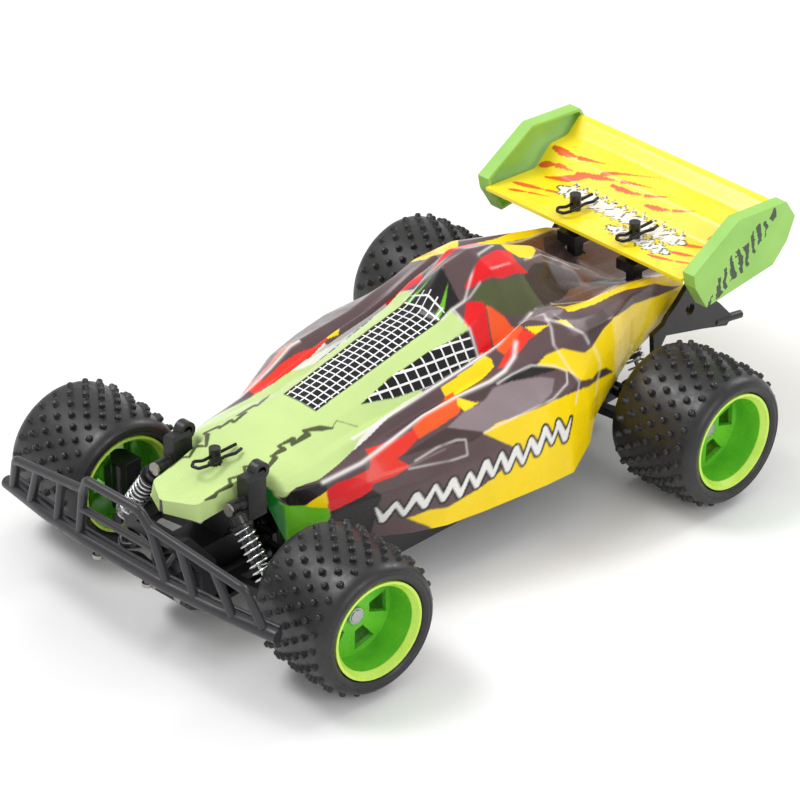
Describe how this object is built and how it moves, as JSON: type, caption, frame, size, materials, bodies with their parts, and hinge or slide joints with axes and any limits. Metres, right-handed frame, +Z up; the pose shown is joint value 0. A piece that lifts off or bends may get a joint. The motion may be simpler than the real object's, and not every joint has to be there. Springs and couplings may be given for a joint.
{
  "type": "remote control car",
  "caption": "Off-road racing buggy toy with sprung arms, spinning steerable wheels, tubular bumper, painted body shell and rear wing.",
  "frame": {"origin": "centre of the bounding box, on the ground under the tyres", "axes": "+Z up, -Y the way the car drives, +X the car's left side"},
  "size_m": [0.2474, 0.4041, 0.13],
  "materials": {
    "body_paint": "gloss",
    "wing_paint": "gloss",
    "lime_plastic": "satin",
    "rim_plastic": "satin",
    "tyre_rubber": "matte",
    "black_plastic": "satin",
    "steel": "satin",
    "spring_chrome": "polished",
    "battery_wrap": "gloss",
    "gear_plastic": "matte"
  },
  "bodies": {
    "chassis": {"chassis_tub": "black_plastic", "front_bulkhead": "black_plastic", "front_bumper": "black_plastic", "front_shock_tower": "black_plastic", "gearbox_case": "black_plastic", "rear_shock_tower": "black_plastic", "rear_guard": "black_plastic", "drive_motor": "steel", "battery_pack": "battery_wrap", "electronics_box": "black_plastic", "steering_servo": "black_plastic", "hinge_pins": "steel", "frame_screws": "steel", "body_shell": "body_paint", "wing_plane": "wing_paint", "wing_endplates": "lime_plastic", "wing_mounts": "black_plastic", "r_clips": "black_plastic"},
    "suspension_arm_fl": {"arm_fl": "black_plastic"},
    "steering_carrier_fl": {"carrier_fl": "black_plastic"},
    "steering_knuckle_fl": {"knuckle_fl": "black_plastic", "axle_fl": "steel"},
    "wheel_fl": {"rim_fl": "rim_plastic", "tyre_fl": "tyre_rubber"},
    "tie_rod_l": {"tie_rod_l": "black_plastic"},
    "suspension_arm_fr": {"arm_fr": "black_plastic"},
    "steering_carrier_fr": {"carrier_fr": "black_plastic"},
    "steering_knuckle_fr": {"knuckle_fr": "black_plastic", "axle_fr": "steel"},
    "wheel_fr": {"rim_fr": "rim_plastic", "tyre_fr": "tyre_rubber"},
    "tie_rod_r": {"tie_rod_r": "black_plastic"},
    "steering_link": {"drag_link": "black_plastic"},
    "suspension_arm_rl": {"arm_rl": "black_plastic"},
    "hub_upright_rl": {"upright_rl": "black_plastic"},
    "wheel_rl": {"rim_rl": "rim_plastic", "tyre_rl": "tyre_rubber", "axle_rl": "steel"},
    "half_shaft_rl": {"dogbone_l": "steel"},
    "suspension_arm_rr": {"arm_rr": "black_plastic"},
    "hub_upright_rr": {"upright_rr": "black_plastic"},
    "wheel_rr": {"rim_rr": "rim_plastic", "tyre_rr": "tyre_rubber", "axle_rr": "steel"},
    "half_shaft_rr": {"dogbone_r": "steel"},
    "differential": {"diff_gear": "gear_plastic"},
    "motor_shaft": {"motor_pinion": "gear_plastic"},
    "shock_fl": {"shock_body_fl": "black_plastic", "spring_fl": "spring_chrome"},
    "shock_shaft_fl": {"shock_rod_fl": "steel"},
    "shock_fr": {"shock_body_fr": "black_plastic", "spring_fr": "spring_chrome"},
    "shock_shaft_fr": {"shock_rod_fr": "steel"},
    "shock_rl": {"shock_body_rl": "black_plastic", "spring_rl": "spring_chrome"},
    "shock_shaft_rl": {"shock_rod_rl": "steel"},
    "shock_rr": {"shock_body_rr": "black_plastic", "spring_rr": "spring_chrome"},
    "shock_shaft_rr": {"shock_rod_rr": "steel"},
    "switch_slider": {"power_switch": "black_plastic"}
  },
  "joints": [
    {"name": "arm_fl_swing", "type": "hinge", "parent": "chassis", "child": "suspension_arm_fl", "pos_m": [0.016, -0.13305, 0.027], "axis": [0, -1, 0], "range_deg": [-7, 10], "stiffness_Nm_per_rad": 2.2, "springref_deg": -1.72},
    {"name": "carrier_fl_pivot", "type": "hinge", "parent": "suspension_arm_fl", "child": "steering_carrier_fl", "pos_m": [0.06, -0.13305, 0.027], "axis": [0, -1, 0], "range_deg": [-10.5, 7.5]},
    {"name": "knuckle_fl_steer", "type": "hinge", "parent": "steering_carrier_fl", "child": "steering_knuckle_fl", "pos_m": [0.072, -0.13305, 0.0387], "axis": [0, 0, 1], "range_deg": [-13, 23.4]},
    {"name": "wheel_fl_spin", "type": "hinge", "parent": "steering_knuckle_fl", "child": "wheel_fl", "pos_m": [0.072, -0.13305, 0.0387], "axis": [0.9959, -0.0906, 0], "continuous": true},
    {"name": "tie_rod_l_pivot", "type": "hinge", "parent": "steering_link", "child": "tie_rod_l", "pos_m": [0.01436, -0.11465, 0.034], "axis": [0, -1, 0], "range_deg": [-5.75, 8]},
    {"name": "arm_fr_swing", "type": "hinge", "parent": "chassis", "child": "suspension_arm_fr", "pos_m": [-0.016, -0.13305, 0.027], "axis": [0, 1, 0], "range_deg": [-7, 10], "stiffness_Nm_per_rad": 2.2, "springref_deg": -1.72},
    {"name": "carrier_fr_pivot", "type": "hinge", "parent": "suspension_arm_fr", "child": "steering_carrier_fr", "pos_m": [-0.06, -0.13305, 0.027], "axis": [0, 1, 0], "range_deg": [-10.5, 7.5]},
    {"name": "knuckle_fr_steer", "type": "hinge", "parent": "steering_carrier_fr", "child": "steering_knuckle_fr", "pos_m": [-0.072, -0.13305, 0.0387], "axis": [0, 0, 1], "range_deg": [-13, 23.4]},
    {"name": "wheel_fr_spin", "type": "hinge", "parent": "steering_knuckle_fr", "child": "wheel_fr", "pos_m": [-0.072, -0.13305, 0.0387], "axis": [0.9959, -0.0906, 0], "continuous": true},
    {"name": "tie_rod_r_pivot", "type": "hinge", "parent": "steering_link", "child": "tie_rod_r", "pos_m": [-0.01164, -0.11465, 0.034], "axis": [0, 1, 0], "range_deg": [-5.75, 8]},
    {"name": "steering_link_slide", "type": "slide", "parent": "chassis", "child": "steering_link", "axis": [1, 0, 0], "range_m": [-0.00571, 0.00298]},
    {"name": "arm_rl_swing", "type": "hinge", "parent": "chassis", "child": "suspension_arm_rl", "pos_m": [0.02, 0.10995, 0.027], "axis": [0, -1, 0], "range_deg": [-7, 10], "stiffness_Nm_per_rad": 2.6, "springref_deg": -2.01},
    {"name": "upright_rl_pivot", "type": "hinge", "parent": "suspension_arm_rl", "child": "hub_upright_rl", "pos_m": [0.062, 0.10995, 0.027], "axis": [0, -1, 0], "range_deg": [-10.5, 7.5]},
    {"name": "wheel_rl_spin", "type": "hinge", "parent": "hub_upright_rl", "child": "wheel_rl", "pos_m": [0.062, 0.10995, 0.0387], "axis": [1, 0, 0], "continuous": true},
    {"name": "half_shaft_rl_tilt", "type": "hinge", "parent": "chassis", "child": "half_shaft_rl", "pos_m": [0.019, 0.10995, 0.0387], "axis": [0, -1, 0], "range_deg": [-10.02, 14.1]},
    {"name": "arm_rr_swing", "type": "hinge", "parent": "chassis", "child": "suspension_arm_rr", "pos_m": [-0.02, 0.10995, 0.027], "axis": [0, 1, 0], "range_deg": [-7, 10], "stiffness_Nm_per_rad": 2.6, "springref_deg": -2.01},
    {"name": "upright_rr_pivot", "type": "hinge", "parent": "suspension_arm_rr", "child": "hub_upright_rr", "pos_m": [-0.062, 0.10995, 0.027], "axis": [0, 1, 0], "range_deg": [-10.5, 7.5]},
    {"name": "wheel_rr_spin", "type": "hinge", "parent": "hub_upright_rr", "child": "wheel_rr", "pos_m": [-0.062, 0.10995, 0.0387], "axis": [1, 0, 0], "continuous": true},
    {"name": "half_shaft_rr_tilt", "type": "hinge", "parent": "chassis", "child": "half_shaft_rr", "pos_m": [-0.019, 0.10995, 0.0387], "axis": [0, 1, 0], "range_deg": [-10.02, 14.1]},
    {"name": "diff_gear_spin", "type": "hinge", "parent": "chassis", "child": "differential", "pos_m": [0, 0.10995, 0.0387], "axis": [1, 0, 0], "continuous": true},
    {"name": "motor_spin", "type": "hinge", "parent": "chassis", "child": "motor_shaft", "pos_m": [-0.005, 0.08965, 0.04324], "axis": [1, 0, 0], "continuous": true},
    {"name": "shock_fl_tilt", "type": "hinge", "parent": "chassis", "child": "shock_fl", "pos_m": [0.0269, -0.14605, 0.0714], "axis": [0, -1, 0], "range_deg": [-3.44, 4.71]},
    {"name": "shock_fl_stroke", "type": "slide", "parent": "shock_fl", "child": "shock_shaft_fl", "axis": [-0.5789, 0, 0.8154], "range_m": [-0.00458, 0.00641], "deforming": ["spring_fl"]},
    {"name": "shock_fr_tilt", "type": "hinge", "parent": "chassis", "child": "shock_fr", "pos_m": [-0.0269, -0.14605, 0.0714], "axis": [0, 1, 0], "range_deg": [-3.44, 4.71]},
    {"name": "shock_fr_stroke", "type": "slide", "parent": "shock_fr", "child": "shock_shaft_fr", "axis": [0.5789, 0, 0.8154], "range_m": [-0.00458, 0.00641], "deforming": ["spring_fr"]},
    {"name": "shock_rl_tilt", "type": "hinge", "parent": "chassis", "child": "shock_rl", "pos_m": [0.0262, 0.12295, 0.07415], "axis": [0, -1, 0], "range_deg": [-2.33, 3.11]},
    {"name": "shock_rl_stroke", "type": "slide", "parent": "shock_rl", "child": "shock_shaft_rl", "axis": [-0.4961, 0, 0.8682], "range_m": [-0.00386, 0.00538], "deforming": ["spring_rl"]},
    {"name": "shock_rr_tilt", "type": "hinge", "parent": "chassis", "child": "shock_rr", "pos_m": [-0.0262, 0.12295, 0.07415], "axis": [0, 1, 0], "range_deg": [-2.33, 3.11]},
    {"name": "shock_rr_stroke", "type": "slide", "parent": "shock_rr", "child": "shock_shaft_rr", "axis": [0.4961, 0, 0.8682], "range_m": [-0.00386, 0.00538], "deforming": ["spring_rr"]},
    {"name": "power_switch_slide", "type": "slide", "parent": "chassis", "child": "switch_slider", "axis": [0, 1, 0], "range_m": [0, 0.004]}
  ],
  "couplings": [
    {"joint": "carrier_fl_pivot", "follows": "arm_fl_swing", "ratio": -1},
    {"joint": "tie_rod_l_pivot", "follows": "arm_fl_swing", "ratio": 0.74576},
    {"joint": "carrier_fr_pivot", "follows": "arm_fr_swing", "ratio": -1},
    {"joint": "tie_rod_r_pivot", "follows": "arm_fr_swing", "ratio": 0.74576},
    {"joint": "knuckle_fl_steer", "follows": "steering_link_slide", "rad_per_m": -66.667},
    {"joint": "knuckle_fr_steer", "follows": "steering_link_slide", "rad_per_m": -66.667},
    {"joint": "upright_rl_pivot", "follows": "arm_rl_swing", "ratio": -1},
    {"joint": "wheel_rl_spin", "follows": "diff_gear_spin", "ratio": 1},
    {"joint": "half_shaft_rl_tilt", "follows": "arm_rl_swing", "ratio": 1.3548},
    {"joint": "upright_rr_pivot", "follows": "arm_rr_swing", "ratio": -1},
    {"joint": "wheel_rr_spin", "follows": "diff_gear_spin", "ratio": 1},
    {"joint": "half_shaft_rr_tilt", "follows": "arm_rr_swing", "ratio": 1.3548},
    {"joint": "motor_spin", "follows": "diff_gear_spin", "ratio": -4.2},
    {"joint": "shock_fl_tilt", "follows": "arm_fl_swing", "ratio": 0.42066},
    {"joint": "shock_fl_stroke", "follows": "arm_fl_swing", "m_per_rad": 0.03504},
    {"joint": "shock_fr_tilt", "follows": "arm_fr_swing", "ratio": 0.42066},
    {"joint": "shock_fr_stroke", "follows": "arm_fr_swing", "m_per_rad": 0.03504},
    {"joint": "shock_rl_tilt", "follows": "arm_rl_swing", "ratio": 0.26103},
    {"joint": "shock_rl_stroke", "follows": "arm_rl_swing", "m_per_rad": 0.02912},
    {"joint": "shock_rr_tilt", "follows": "arm_rr_swing", "ratio": 0.26103},
    {"joint": "shock_rr_stroke", "follows": "arm_rr_swing", "m_per_rad": 0.02912}
  ]
}
